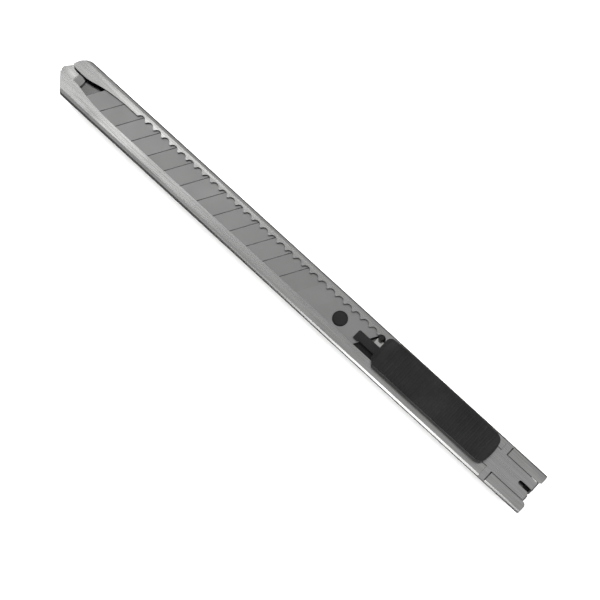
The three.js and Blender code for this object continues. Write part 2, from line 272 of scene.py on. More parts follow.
def prism(name, outline, low, high, place=from_above):
    """A closed outline run from low to high; place says which axes it lies in."""

    def build(shape):
        rings = [[shape.verts.new(place(a, b, level)) for a, b in outline] for level in (low, high)]
        shape.faces.new(rings[0])
        shape.faces.new(rings[1])
        for i in range(len(outline)):
            j = (i + 1) % len(outline)
            shape.faces.new((rings[0][i], rings[0][j], rings[1][j], rings[1][i]))

    return new_object(name, build)


def brick(name, x0, x1, y0, y1, z0, z1):
    return prism(name, [(x0, y0), (x1, y0), (x1, y1), (x0, y1)], z0, z1)


def settle(piece):
    """Bakes a piece's modifiers into its mesh."""
    graph = bpy.context.evaluated_depsgraph_get()
    baked = bpy.data.meshes.new_from_object(piece.evaluated_get(graph))
    piece.modifiers.clear()
    piece.data = baked
    baked.name = piece.name
    return piece


def combine(piece, tool, operation):
    """Joins, cuts or trims a piece with a tool, which is used up."""
    step = piece.modifiers.new("combine", "BOOLEAN")
    step.operation = operation
    step.solver = "EXACT"
    step.object = tool
    settle(piece)
    bpy.data.objects.remove(tool)
    return piece


def flatten_faces(piece, angle=0.6):
    """Turns the triangles of each flat face back into one face."""
    shape = bmesh.new()
    shape.from_mesh(piece.data)
    bmesh.ops.remove_doubles(shape, verts=shape.verts, dist=1e-4)
    limit = math.radians(angle)
    bmesh.ops.dissolve_limit(shape, angle_limit=limit, verts=shape.verts, edges=shape.edges)
    shape.to_mesh(piece.data)
    shape.free()
    return piece


def ease_edges(piece, width, segments=2, angle=32):
    """Rounds every sharp edge, as tumbling or a mould does."""
    for face in piece.data.polygons:
        face.use_smooth = True
    step = piece.modifiers.new("eased_edges", "BEVEL")
    step.width = width
    step.segments = segments
    step.limit_method = "ANGLE"
    step.angle_limit = math.radians(angle)
    step.miter_outer = "MITER_ARC"
    step.harden_normals = True
    return settle(piece)


def cad_copy(name, node):
    """A merged copy of a CAD node's mesh, in millimetres."""
    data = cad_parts[node].data.copy()
    data.materials.clear()
    data.transform(Matrix.Scale(1 / MM, 4))
    piece = bpy.data.objects.new(name, data)
    bpy.context.collection.objects.link(piece)
    return flatten_faces(piece)


def finish_piece(piece, material, node, extra=None, is_extra=None):
    """Turns a piece to metres and gives it its finish; is_extra picks the faces of a second finish."""
    data = piece.data
    data.materials.clear()
    data.materials.append(material)
    if extra:
        data.materials.append(extra)
    for face in data.polygons:
        face.material_index = 1 if extra and is_extra(face) else 0
    data.transform(Matrix.Scale(MM, 4))
    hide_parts(node)
    return piece


# ---------------------------------------------------------------- node helper


def add(tree, kind, inputs=None, **settings):
    """Adds a node, with its settings, and with its inputs set or linked."""
    node = tree.nodes.new(kind)
    for key, value in settings.items():
        setattr(node, key, value)
    for socket, value in (inputs or {}).items():
        if isinstance(value, bpy.types.NodeSocket):
            tree.links.new(value, node.inputs[socket])
        else:
            node.inputs[socket].default_value = value
    return node


def linear(code):
    """An sRGB hex colour as linear RGBA."""
    parts = [int(code[i:i + 2], 16) / 255 for i in (1, 3, 5)]
    return tuple(p / 12.92 if p <= 0.04045 else ((p + 0.055) / 1.055) ** 2.4 for p in parts) + (1.0,)


def per_metre(size):
    """A noise scale whose features are about this many millimetres across."""
    return 1 / (size * MM)


def new_material(name):
    material = bpy.data.materials.new(name)
    material.use_nodes = True
    tree = material.node_tree
    tree.nodes.clear()
    output = tree.nodes.new("ShaderNodeOutputMaterial")
    shader = tree.nodes.new("ShaderNodeBsdfPrincipled")
    tree.links.new(shader.outputs["BSDF"], output.inputs["Surface"])
    return material, tree, shader


# ---------------------------------------------------------------- materials


def satin_stainless(name, light, dark, floor_shade_tone, rough_low, rough_high):
    """Cold-rolled 304 stainless sheet, belt-brushed along its length before it was folded.

    Fine streaks along X give a soft, stretched gloss. Broad patches, a little smoother or duller, are
    where fingers have rubbed it. Streaks are 0.15 mm apart, coarser than a real 240 grit belt leaves,
    so that they show. Below a height just over the channel's floor a darker colour is painted in, a
    painted shade for the channel's deep floor, and this goes by height alone, so the outer back and
    the pocket clip get the painted shade too.
    """
    material, tree, shader = new_material(name)
    place = add(tree, "ShaderNodeTexCoord").outputs["Object"]
    grain = (per_metre(9), per_metre(0.15), per_metre(0.15))
    along = add(tree, "ShaderNodeMapping", {"Vector": place, "Scale": grain})
    streaks = add(tree, "ShaderNodeTexNoise", {
        "Vector": along.outputs["Vector"], "Scale": 1.0, "Detail": 4.0, "Roughness": 0.6})
    patch = (per_metre(16), per_metre(2.6), per_metre(2.6))
    broad = add(tree, "ShaderNodeMapping", {"Vector": place, "Scale": patch})
    handling = add(tree, "ShaderNodeTexNoise", {
        "Vector": broad.outputs["Vector"], "Scale": 1.0, "Detail": 3.0, "Roughness": 0.55})
    blend = add(tree, "ShaderNodeMix", {
        "Factor": 0.55, "A": streaks.outputs["Fac"], "B": handling.outputs["Fac"]}, data_type="FLOAT")
    level = add(tree, "ShaderNodeMapRange", {
        "Value": blend.outputs["Result"], "From Min": 0.36, "From Max": 0.64})
    tone = add(tree, "ShaderNodeMix", {"Factor": level.outputs["Result"]}, data_type="RGBA")
    tone.inputs["A"].default_value = linear(dark)
    tone.inputs["B"].default_value = linear(light)
    # Painted shade: below a height just over the channel's floor the colour turns to the shade tone,
    # standing for the shadow on the channel's deep floor.
    height = add(tree, "ShaderNodeSeparateXYZ", {"Vector": place}).outputs["Z"]
    depth = add(tree, "ShaderNodeMapRange", {
        "Value": height, "From Min": (BACK + SHEET + 0.3) * MM, "From Max": (BACK + SHEET + 0.1) * MM})
    inside = add(tree, "ShaderNodeMix", {
        "Factor": depth.outputs["Result"], "A": tone.outputs["Result"]}, data_type="RGBA")
    inside.inputs["B"].default_value = linear(floor_shade_tone)
    tree.links.new(inside.outputs["Result"], shader.inputs["Base Color"])
    rough = add(tree, "ShaderNodeMapRange", {
        "Value": level.outputs["Result"], "To Min": rough_high, "To Max": rough_low})
    tree.links.new(rough.outputs["Result"], shader.inputs["Roughness"])
    bump = add(tree, "ShaderNodeBump", {
        "Height": streaks.outputs["Fac"], "Strength": 0.15, "Distance": 0.002 * MM})
    tree.links.new(bump.outputs["Normal"], shader.inputs["Normal"])
    shader.inputs["Metallic"].default_value = 1.0
    return material


def ground_blade_steel():
    """Hardened carbon tool steel strip, surface ground and lightly oiled.

    It is a touch darker than the stainless sleeve. Each segment differs slightly in tone, and the
    honed bevel along the cutting edge is brighter than the flat.
    """
    material, tree, shader = new_material("ground_carbon_steel")
    place = add(tree, "ShaderNodeTexCoord").outputs["Object"]
    parts = add(tree, "ShaderNodeSeparateXYZ", {"Vector": place})
    lean = add(tree, "ShaderNodeMath", {
        0: parts.outputs["Y"], 1: -1 / math.tan(SNAP_ANGLE), 2: parts.outputs["X"]},
        operation="MULTIPLY_ADD")
    phase = -(BLADE_TIP + BLADE_HALF / math.tan(SNAP_ANGLE)) / SNAP_PITCH
    count = add(tree, "ShaderNodeMath", {
        0: lean.outputs["Value"], 1: 1 / (SNAP_PITCH * MM), 2: phase}, operation="MULTIPLY_ADD")
    segment = add(tree, "ShaderNodeMath", {0: count.outputs["Value"]}, operation="FLOOR")
    chance = add(
        tree, "ShaderNodeTexWhiteNoise", {"W": segment.outputs["Value"]}, noise_dimensions="1D")
    cloud = add(tree, "ShaderNodeTexNoise", {
        "Vector": place, "Scale": per_metre(4), "Detail": 2.0, "Roughness": 0.5})
    grain = (per_metre(0.2), per_metre(2), per_metre(2))
    across = add(tree, "ShaderNodeMapping", {"Vector": place, "Scale": grain})
    grind = add(tree, "ShaderNodeTexNoise", {
        "Vector": across.outputs["Vector"], "Scale": 1.0, "Detail": 3.0, "Roughness": 0.5})
    mottle = add(tree, "ShaderNodeMix", {
        "Factor": 0.4, "A": cloud.outputs["Fac"], "B": chance.outputs["Value"]}, data_type="FLOAT")
    tone = add(tree, "ShaderNodeMix", {"Factor": mottle.outputs["Result"]}, data_type="RGBA")
    tone.inputs["A"].default_value = linear("#a0a09f")
    tone.inputs["B"].default_value = linear("#b1b1b1")
    edge = add(tree, "ShaderNodeMapRange", {
        "Value": parts.outputs["Y"], "From Min": (BLADE_BEVEL + 0.1 - BLADE_HALF) * MM,
        "From Max": (BLADE_BEVEL - 0.05 - BLADE_HALF) * MM})
    honed = add(tree, "ShaderNodeMix", {
        "Factor": edge.outputs["Result"], "A": tone.outputs["Result"]}, data_type="RGBA")
    honed.inputs["B"].default_value = linear("#cccccb")
    tree.links.new(honed.outputs["Result"], shader.inputs["Base Color"])
    rough = add(tree, "ShaderNodeMapRange", {
        "Value": cloud.outputs["Fac"], "From Min": 0.3, "From Max": 0.7,
        "To Min": 0.28, "To Max": 0.34})
    tree.links.new(rough.outputs["Result"], shader.inputs["Roughness"])
    bump = add(tree, "ShaderNodeBump", {
        "Height": grind.outputs["Fac"], "Strength": 0.1, "Distance": 0.001 * MM})
    tree.links.new(bump.outputs["Normal"], shader.inputs["Normal"])
    shader.inputs["Metallic"].default_value = 1.0
    return material


def painted_shade_steel(name, dark, light):
    """Painted shade on steel, in scored lines and on cut lip edges: a dark colour, mottled at random,
    stands for the shade in the grooves and the shadow along the lip's edges.
    """
    material, tree, shader = new_material(name)
    place = add(tree, "ShaderNodeTexCoord").outputs["Object"]
    # Painted shade: a noise mixes two dark tones at random.
    shade_mottle = add(tree, "ShaderNodeTexNoise", {"Vector": place, "Scale": per_metre(0.8), "Detail": 3.0})
    tone = add(tree, "ShaderNodeMix", {"Factor": shade_mottle.outputs["Fac"]}, data_type="RGBA")
    tone.inputs["A"].default_value = linear(dark)
    tone.inputs["B"].default_value = linear(light)
    tree.links.new(tone.outputs["Result"], shader.inputs["Base Color"])
    shader.inputs["Metallic"].default_value = 0.4
    shader.inputs["Roughness"].default_value = 0.6
    return material


def bright_spring_steel():
    """Rolled and polished spring strip: bright, almost mirror smooth, with faint rolling lines."""
    material, tree, shader = new_material("bright_rolled_spring_steel")
    place = add(tree, "ShaderNodeTexCoord").outputs["Object"]
    grain = (per_metre(5), per_metre(0.3), per_metre(0.3))
    along = add(tree, "ShaderNodeMapping", {"Vector": place, "Scale": grain})
    rolling = add(tree, "ShaderNodeTexNoise", {
        "Vector": along.outputs["Vector"], "Scale": 1.0, "Detail": 3.0})
    tone = add(tree, "ShaderNodeMix", {"Factor": rolling.outputs["Fac"]}, data_type="RGBA")
    tone.inputs["A"].default_value = linear("#c9cac7")
    tone.inputs["B"].default_value = linear("#e8e8e5")
    tree.links.new(tone.outputs["Result"], shader.inputs["Base Color"])
    rough = add(tree, "ShaderNodeMapRange", {
        "Value": rolling.outputs["Fac"], "To Min": 0.16, "To Max": 0.32})
    tree.links.new(rough.outputs["Result"], shader.inputs["Roughness"])
    shader.inputs["Metallic"].default_value = 1.0
    return material


def moulded_black(name, fresh, rubbed, grain, depth, rough_low, rough_high):
    """Black moulded plastic: a dull spark-eroded grain, polished where it is handled."""
    material, tree, shader = new_material(name)
    place = add(tree, "ShaderNodeTexCoord").outputs["Object"]
    pits = add(tree, "ShaderNodeTexNoise", {
        "Vector": place, "Scale": per_metre(grain), "Detail": 3.0, "Roughness": 0.6})
    use = add(tree, "ShaderNodeTexNoise", {"Vector": place, "Scale": per_metre(5), "Detail": 3.0})
    spread = add(tree, "ShaderNodeMapRange", {
        "Value": use.outputs["Fac"], "From Min": 0.35, "From Max": 0.68})
    tone = add(tree, "ShaderNodeMix", {"Factor": spread.outputs["Result"]}, data_type="RGBA")
    tone.inputs["A"].default_value = linear(fresh)
    tone.inputs["B"].default_value = linear(rubbed)
    tree.links.new(tone.outputs["Result"], shader.inputs["Base Color"])
    rough = add(tree, "ShaderNodeMapRange", {
        "Value": spread.outputs["Result"], "To Min": rough_high, "To Max": rough_low})
    tree.links.new(rough.outputs["Result"], shader.inputs["Roughness"])
    bump = add(tree, "ShaderNodeBump", {
        "Height": pits.outputs["Fac"], "Strength": 0.4, "Distance": depth * MM})
    tree.links.new(bump.outputs["Normal"], shader.inputs["Normal"])
    shader.inputs["IOR"].default_value = 1.5
    return material


# ---------------------------------------------------------------- repeated shapes


def repeating_tree(name, operation):
    """Geometry Nodes: a tool repeated along a line, then joined to or cut from the incoming piece.

    The line may sag by Dip in the middle, on a squared sine, as the thumb slide's top does.
    """
    tree = bpy.data.node_groups.new(name, "GeometryNodeTree")
    tree.interface.new_socket("Geometry", in_out="OUTPUT", socket_type="NodeSocketGeometry")
    wanted = (
        ("Piece", "Geometry"), ("Tool", "Object"), ("Count", "Int"), ("First", "Vector"),
        ("Step", "Vector"), ("Dip", "Float"), ("Material", "Material"),
    )
    for label, kind in wanted:
        tree.interface.new_socket(label, in_out="INPUT", socket_type="NodeSocket" + kind)
    given = add(tree, "NodeGroupInput").outputs
    line = add(tree, "GeometryNodeMeshLine", {
        "Count": given["Count"], "Start Location": given["First"], "Offset": given["Step"]})
    index = add(tree, "GeometryNodeInputIndex").outputs["Index"]
    last = add(tree, "ShaderNodeMath", {0: given["Count"], 1: 1.0}, operation="SUBTRACT")
    share = add(tree, "ShaderNodeMath", {0: index, 1: last.outputs["Value"]}, operation="DIVIDE")
    swing = add(tree, "ShaderNodeMath", {0: share.outputs["Value"], 1: math.pi}, operation="MULTIPLY")
    sine = add(tree, "ShaderNodeMath", {0: swing.outputs["Value"]}, operation="SINE")
    square = add(tree, "ShaderNodeMath", {0: sine.outputs["Value"], 1: 2.0}, operation="POWER")
    drop = add(
        tree, "ShaderNodeMath", {0: square.outputs["Value"], 1: given["Dip"]}, operation="MULTIPLY")
    sink = add(tree, "ShaderNodeMath", {0: drop.outputs["Value"], 1: -1.0}, operation="MULTIPLY")
    shift = add(tree, "ShaderNodeCombineXYZ", {"Z": sink.outputs["Value"]})
    placed = add(tree, "GeometryNodeSetPosition", {
        "Geometry": line.outputs["Mesh"], "Offset": shift.outputs["Vector"]})
    tool = add(tree, "GeometryNodeObjectInfo", {"Object": given["Tool"]})
    copies = add(tree, "GeometryNodeInstanceOnPoints", {
        "Points": placed.outputs["Geometry"], "Instance": tool.outputs["Geometry"]})
    joined = add(tree, "GeometryNodeMeshBoolean", operation=operation, solver="EXACT")
    kept = "Mesh 1" if operation == "DIFFERENCE" else "Mesh 2"
    tree.links.new(given["Piece"], joined.inputs[kept])
    tree.links.new(copies.outputs["Instances"], joined.inputs["Mesh 2"])
    real = add(tree, "GeometryNodeRealizeInstances", {"Geometry": joined.outputs["Mesh"]})
    dressed = add(tree, "GeometryNodeSetMaterial", {
        "Geometry": real.outputs["Geometry"], "Material": given["Material"]})
    add(tree, "NodeGroupOutput", {"Geometry": dressed.outputs["Geometry"]})
    return tree


def repeat(piece, tree, tool, **values):
    """Runs a repeating tree on a piece, bakes the result and uses up the tool."""
    step = piece.modifiers.new(tree.name, "NODES")
    step.node_group = tree
    values["Tool"] = tool
    for item in tree.interface.items_tree:
        if item.name in values:
            step[item.identifier] = values[item.name]
    settle(piece)
    bpy.data.objects.remove(tool)
    return piece


# ---------------------------------------------------------------- sleeve


def sleeve_ends():
    """Both ends of the sleeve seen from above, carried past the side walls."""
    shorter = TAIL - LIP_STAGGER
    slant = NOSE_TAPER / (OUTER - 0.75)
    points = [(at(NOSE_TAPER + slant), -OUTER - 1), (at(0.12), -0.87), (at(0), -0.6), (at(0), 0.1)]
    points += bezier(points[-1], (at(0.05), 0.9), (at(0.6), 1.5), (at(1.65), 2), 10)
    points += bezier(
        points[-1], (at(2), 3.2), (at(2.7), OUTER - 0.8), (at(NOSE_TAPER + 0.2), OUTER - 0.15), 12)
    points += [
        (at(NOSE_TAPER + 1.2), OUTER + 1), (shorter - 1.4, OUTER + 1), (shorter - 0.1, OUTER - 0.3),
        (shorter, OUTER - 0.6), (shorter, 0), (TAIL, 0), (TAIL, 0.3 - OUTER), (TAIL - 1.3, -OUTER - 1),
    ]
    return points


def lip_opening():
    """Space between the lips, from nose to tail, its notches left out."""
    shorter = TAIL - LIP_STAGGER
    widening = CAP_REAR - 8
    points = [(at(-1), NOSE_LOWER_LIP - 0.9), (at(0.45), NOSE_LOWER_LIP - 0.45)]
    points += [(at(0.7), NOSE_LOWER_LIP - 0.12), (at(1.2), NOSE_LOWER_LIP)]
    points += [(at(NOSE_STEP - 0.5), NOSE_LOWER_LIP)]
    points += bezier(
        points[-1], (at(7), NOSE_LOWER_LIP - 0.05), (at(8.5), LOWER_LIP + 0.25),
        (at(GUIDE), LOWER_LIP), 24)
    points += [(WINDOW_REAR - 0.5, LOWER_LIP), (WINDOW_REAR - 0.5, TAIL_LOWER_LIP)]
    points += arc(TAIL - TAIL_LIP_ROUND, TAIL_LOWER_LIP - TAIL_LIP_ROUND, TAIL_LIP_ROUND, 90, 0, 10)
    points += [(TAIL + 1, TAIL_LOWER_LIP - TAIL_LIP_ROUND), (TAIL + 1, TAIL_UPPER_LIP + TAIL_LIP_ROUND)]
    points += arc(shorter - TAIL_LIP_ROUND, TAIL_UPPER_LIP + TAIL_LIP_ROUND, TAIL_LIP_ROUND, 0, -90, 10)
    points += [(widening, TAIL_UPPER_LIP), (widening - 0.7, TOOTH_TIP), (at(GUIDE), TOOTH_TIP)]
    points += bezier(
        points[-1], (at(9.3), TOOTH_TIP - 0.28), (at(8.2), NOSE_UPPER_LIP + 0.1),
        (at(NOSE_STEP), NOSE_UPPER_LIP), 24)
    points += bezier(
        points[-1], (at(3.2), NOSE_UPPER_LIP), (at(1.7), NOSE_UPPER_LIP), (at(1.65), 2), 12)
    points += [(at(-1), 2)]
    return points


def notch_tool():
    """One notch of the rack: a round arch whose mouth flares into rounded tooth tips."""
    centre = TOOTH_TIP + NOTCH_DEPTH - NOTCH_RADIUS
    half = NOTCH_PITCH / 2
    rise = TOOTH_TIP - centre
    tip = (half ** 2 + rise ** 2 - NOTCH_RADIUS ** 2) / (2 * (NOTCH_RADIUS - rise))
    meet = math.degrees(math.atan2(rise + tip, half))
    arch = arc(0, centre, NOTCH_RADIUS, meet, 180 - meet, 20)
    left = arc(-half, TOOTH_TIP + tip, tip, -meet, -84, 5)[1:]
    right = [(-x, y) for x, y in reversed(left)]
    base = [(left[-1][0], TOOTH_TIP - 0.2), (right[0][0], TOOTH_TIP - 0.2)]
    return prism("notch_tool", arch + left + base + right, LIP_BOTTOM - OVERRUN, LIP_TOP + OVERRUN)


def nose_floor(name, inset, ramp, low, high):
    """Raised floor that carries the blade at the nose, or the hollow beneath it, with a short ramp."""
    half = OUTER - NOSE_FLOOR_SIDE - inset
    swell = at(NOSE_STEP - inset) - 0.9
    points = [
        (at(3.2) + inset, -half), (at(0.08) + inset, -0.6), (at(0.05) + inset, 0.15),
        (at(2.9) + inset, half), (swell, half),
    ]
    points += bezier(
        points[-1], (swell + 1.6, half / 3), (swell + 1.6, -half / 3), (swell, -half), 16)

    def build(shape):
        rings = []
        for level, back in ((low, 0), (high - NOSE_FLOOR_KNEE, 0), (high, ramp)):
            spots = [(x - back if x > swell - 0.01 else x, y, level) for x, y in points]
            rings.append([shape.verts.new(spot) for spot in spots])
        shape.faces.new(rings[0])
        shape.faces.new(rings[-1])
        for lower, upper in zip(rings, rings[1:]):
            for i in range(len(points)):
                j = (i + 1) % len(points)
                shape.faces.new((lower[i], lower[j], upper[j], upper[i]))

    return new_object(name, build)


def make_sleeve(steel, lip_edge_shadow):
    outside = rounded_rectangle(-OUTER, OUTER, BACK, LIP_TOP, BEND)
    inside = rounded_rectangle(-INNER, INNER, BACK + SHEET, LIP_BOTTOM, BEND - SHEET)
    sleeve = prism("folded_sleeve", outside, NOSE - 1, TAIL + 1, from_end)
    combine(sleeve, prism("hollow", inside, NOSE - 2, TAIL + 2, from_end), "DIFFERENCE")
    combine(sleeve, prism("ends", sleeve_ends(), 0, FAR), "INTERSECT")
    opening = prism("opening", lip_opening(), LIP_BOTTOM - OVERLAP, LIP_TOP + OVERRUN)
    combine(sleeve, opening, "DIFFERENCE")
    raised = BLADE_BOTTOM - RUN_GAP
    pressing = nose_floor("pressing", inset=0, ramp=0.7, low=BACK + OVERLAP, high=raised)
    combine(sleeve, pressing, "UNION")
    recess = nose_floor("recess", inset=SHEET, ramp=0.45, low=BACK - 1, high=raised - SHEET)
    combine(sleeve, recess, "DIFFERENCE")
    repeat(
        sleeve, repeating_tree("lock_rack", "DIFFERENCE"), notch_tool(), Count=NOTCH_COUNT,
        First=(at(FIRST_NOTCH), 0, 0), Step=(NOTCH_PITCH, 0, 0), Dip=0.0, Material=steel)
    window = brick(
        "window", WINDOW_FRONT, WINDOW_REAR, -FAR, OUTER - WINDOW_WALL,
        LIP_BOTTOM - SHEET, LIP_TOP + 1)
    combine(sleeve, window, "DIFFERENCE")
    cut_half = CLIP_HALF + 2 * CLIP_GAP
    back_cut = brick(
        "back_cut", PLATE_END - 2, TAIL + 1, -cut_half, cut_half, 0, BACK + SHEET + OVERLAP)
    combine(sleeve, back_cut, "DIFFERENCE")
    flatten_faces(sleeve)
    ease_edges(sleeve, width=0.14)

    # Painted shadow: the bevels and cut walls along the notched lip's inner edge, in front of the thumb
    # slide's rear, take a near-black colour that stands for the shadow the lip casts on the blade.
    def in_lip_edge_shadow(face):
        lip = face.center.z > LIP_BOTTOM - 0.02 and 0.5 < face.center.y < INNER - 0.6
        return lip and face.normal.z < 0.95 and face.center.x < CAP_REAR

    finish_piece(sleeve, steel, "sleeve", lip_edge_shadow, in_lip_edge_shadow)
    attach(sleeve, "sleeve")


# ---------------------------------------------------------------- end clip


def grip_rise(x):
    """Height of the pocket clip's outer face: its free end lifts, then is pressed in to grip."""
    along = x - CLIP_FRONT
    peak = BACK - 0.2 - CLIP_SHEET
    if along >= GRIP_LENGTH:
        return 0
    if along >= GRIP_PRESS:
        swing = math.pi * (along - GRIP_PRESS) / (GRIP_LENGTH - GRIP_PRESS)
        return peak * (1 + math.cos(swing)) / 2
    return GRIP_LIFT + (peak - GRIP_LIFT) * (1 - math.cos(math.pi * along / GRIP_PRESS)) / 2


def clip_profile():
    """Side view of the strip: plate, two bends round the tail, pocket clip with its pressed-in grip."""
    bend = PLATE_END - CLIP_BEND
    upper = LIP_TOP - CLIP_BEND
    inside = CLIP_BEND - CLIP_SHEET
    steps = 28
    stretch = [CLIP_FRONT + GRIP_LENGTH * i / steps for i in range(steps + 1)]
    points = [(WINDOW_FRONT - PLATE_LEAD, LIP_TOP)]
    points += arc(bend, upper, CLIP_BEND, 90, 0, 10) + arc(bend, CLIP_BEND, CLIP_BEND, 0, -90, 10)
    points += [(x, grip_rise(x)) for x in reversed(stretch)]
    points += [(x, grip_rise(x) + CLIP_SHEET) for x in stretch]
    points += arc(bend, CLIP_BEND, inside, -90, 0, 10) + arc(bend, upper, inside, 0, 90, 10)
    return points + [(WINDOW_FRONT - PLATE_LEAD, LIP_TOP - CLIP_SHEET)]


def make_clip(steel):
    low, high = TAIL_LOWER_LIP + CLIP_GAP, TAIL_UPPER_LIP - CLIP_GAP
    level, between = LIP_BOTTOM - SHEET + 0.1, 3
    round_end = rounded_rectangle(CLIP_FRONT, PLATE_END + 5, -CLIP_HALF, CLIP_HALF, 1.4)
    plate = rounded_rectangle(
        WINDOW_FRONT - PLATE_LEAD, PLATE_END + 5, LOWER_LIP + CLIP_GAP, high, 0.4, 6)
    limits = prism("clip_width", round_end, -1, level)
    plate_width = brick(
        "plate_width", WINDOW_FRONT + PLATE_STEP, PLATE_END + 1, low, high, between, FAR)
    combine(limits, plate_width, "UNION")
    combine(limits, prism("plate_front", plate, between, FAR), "UNION")
    shoulders = brick(
        "shoulders", WINDOW_FRONT + SHOULDER_FRONT_GAP, WINDOW_REAR - SHOULDER_REAR_GAP,
        -OUTER - SHOULDER_PROUD, OUTER - SHOULDER_INSET, between, FAR)
    combine(limits, shoulders, "UNION")
    clip = prism("tail_clip", clip_profile(), -OUTER - 1, OUTER + 1, from_side)
    combine(clip, limits, "INTERSECT")
    centre, half = (low + high) / 2, SLOT_WIDTH / 2
    slot_front = PLATE_END - SLOT_LENGTH
    slot = arc(slot_front + half, centre, half, 90, 270, 16)
    slot += [
        (PLATE_END - MOUTH_DEPTH, centre - half), (PLATE_END + 1, centre - half),
        (PLATE_END + 1, centre + half - 0.1), (PLATE_END - 1.5, centre + half),
    ]
    combine(clip, prism("snapping_slot", slot, LIP_TOP / 2, LIP_TOP + 1), "DIFFERENCE")
    mouth = [
        (PLATE_END - MOUTH_DEPTH, centre - 0.55), (PLATE_END + 0.2, centre - 1.5),
        (PLATE_END + 0.2, centre + 0.3),
    ]
    combine(clip, prism("slot_mouth", mouth, -1, LIP_TOP + 1), "DIFFERENCE")
    flatten_faces(clip)
    ease_edges(clip, width=0.05)
    finish_piece(clip, steel, "end_clip")
    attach(clip, "sleeve")


# ---------------------------------------------------------------- blade


def make_blade(steel, score):
    middle = (BLADE_BOTTOM + BLADE_TOP) / 2
    section = [
        (-BLADE_HALF, middle - BLADE_EDGE), (BLADE_BEVEL - BLADE_HALF, BLADE_BOTTOM),
        (BLADE_HALF, BLADE_BOTTOM), (BLADE_HALF, BLADE_TOP),
        (BLADE_BEVEL - BLADE_HALF, BLADE_TOP), (-BLADE_HALF, middle + BLADE_EDGE),
    ]
    lean = 2 * BLADE_HALF / math.tan(SNAP_ANGLE)
    blade = prism("snap_blade_strip", section, BLADE_TIP - 1, BLADE_REAR + 1, from_end)
    ends = [
        (BLADE_TIP - lean, -3 * BLADE_HALF), (BLADE_REAR - 2 * lean, -3 * BLADE_HALF),
        (BLADE_REAR + lean, 3 * BLADE_HALF), (BLADE_TIP + 2 * lean, 3 * BLADE_HALF),
    ]
    combine(blade, prism("slanted_ends", ends, 0, FAR), "INTERSECT")
    hole = prism("hole", arc(HOLE_X, 0, HOLE_RADIUS, 0, 355, 71), BLADE_BOTTOM - 1, BLADE_TOP + 1)
    combine(blade, hole, "DIFFERENCE")
    flatten_faces(blade)
    ease_edges(blade, width=0.02, segments=1, angle=50)
    half_width, depth, above = 0.13, 0.09, 0.3
    flare = half_width * (depth + above) / depth

    def leaning(a, b, level):
        """Section of (x, z) points run along the slanted scored line."""
        return (a + level / math.tan(SNAP_ANGLE), level, BLADE_TOP + b)

    reach = 3 * BLADE_HALF
    groove = [(-flare, above), (0, -depth), (flare, above)]
    tool = prism("score_tool", groove, -reach, reach, leaning)
    first = BLADE_TIP + BLADE_HALF / math.tan(SNAP_ANGLE) + SNAP_PITCH
    repeat(
        blade, repeating_tree("scored_lines", "DIFFERENCE"), tool, Count=SNAP_LINES,
        First=(first, 0, 0), Step=(SNAP_PITCH, 0, 0), Dip=0.0, Material=steel)

    # Painted shade: the sloping walls of the scored grooves take a dark colour that stands for the
    # shade inside the grooves.
    def in_score(face):
        tilted = 0.2 < face.normal.z < 0.95 and abs(face.normal.x) > 0.3
        return tilted and face.center.z < BLADE_TOP - 0.01

    for face in blade.data.polygons:
        face.use_smooth = False
    finish_piece(blade, steel, "snap_blade", score, in_score)
    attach(blade, "blade_carrier")


# ---------------------------------------------------------------- holder, spring and pin


def make_holder(plastic):
    holder = cad_copy("blade_holder_moulding", "blade_holder")
    ease_edges(holder, width=0.08)
    finish_piece(holder, plastic, "blade_holder")
    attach(holder, "blade_carrier")


def make_spring(steel):
    """Leaf with its root in the holder and a lug under the pin, built as one still shape."""
    lug_end = at(FIRST_NOTCH) + NOTCH_PITCH * (NOTCH_COUNT - 1) + LUG_REACH
    lug_side = span("lock_spring", Y)[1]
    root = SPRING_REAR - LEAF
    steps = 40
    stretch = [lug_end - 1 + (root - lug_end + 1) * i / steps for i in range(steps + 1)]
    outline = [(x, LEAF_SIDE) for x in stretch]
    outline += [(root, SPRING_ROOT), (SPRING_REAR, SPRING_ROOT)]
    outline += arc(SPRING_REAR - LEAF, LEAF_SIDE, LEAF, 0, 90, 5)
    outline += [(x, LEAF_SIDE + LEAF) for x in reversed(stretch[:-1])]
    spring = prism("lock_leaf", outline, SPRING_BOTTOM, SPRING_TOP)
    lug_top = (SPRING_BOTTOM + SPRING_TOP) / 2
    lug_plan = rounded_rectangle(SPRING_FRONT, lug_end, LEAF_SIDE, lug_side, 0.3, 5)
    combine(spring, prism("lug", lug_plan, lug_top - LEAF, lug_top), "UNION")
    ease_edges(spring, width=0.03, angle=40)
    finish_piece(spring, steel, "lock_spring")
    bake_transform(spring)


def make_pin(plastic):
    """Round pin with a softly domed head."""
    radius = (span("lock_pin", X)[1] - span("lock_pin", X)[0]) / 2
    dome, foot, sides = 0.3, 0.08, 48
    profile = [(0, PIN_BOTTOM), (radius - foot, PIN_BOTTOM), (radius, PIN_BOTTOM + foot)]
    profile += arc(radius - dome, PIN_TOP - dome, dome, 0, 90, 8) + [(0, PIN_TOP)]
    turns = [2 * math.pi * i / sides for i in range(sides)]

    def build(shape):
        rings = []
        for r, z in profile:
            spots = [(PIN_X + r * math.cos(a), PIN_Y + r * math.sin(a), z) for a in turns]
            rings.append([shape.verts.new(spots[0])] * sides if r == 0 else [
                shape.verts.new(spot) for spot in spots])
        for low, high in zip(rings, rings[1:]):
            for i in range(sides):
                j = (i + 1) % sides
                shape.faces.new(list(dict.fromkeys((low[i], low[j], high[j], high[i]))))

    pin = new_object("lock_pin_head", build)
    for face in pin.data.polygons:
        face.use_smooth = True
    finish_piece(pin, plastic, "lock_pin")
    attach(pin, "lock_pin")


# ---------------------------------------------------------------- thumb slide

RIB_FRONT = CAP_FRONT + 3.2
RIB_REAR = CAP_REAR - 1.2


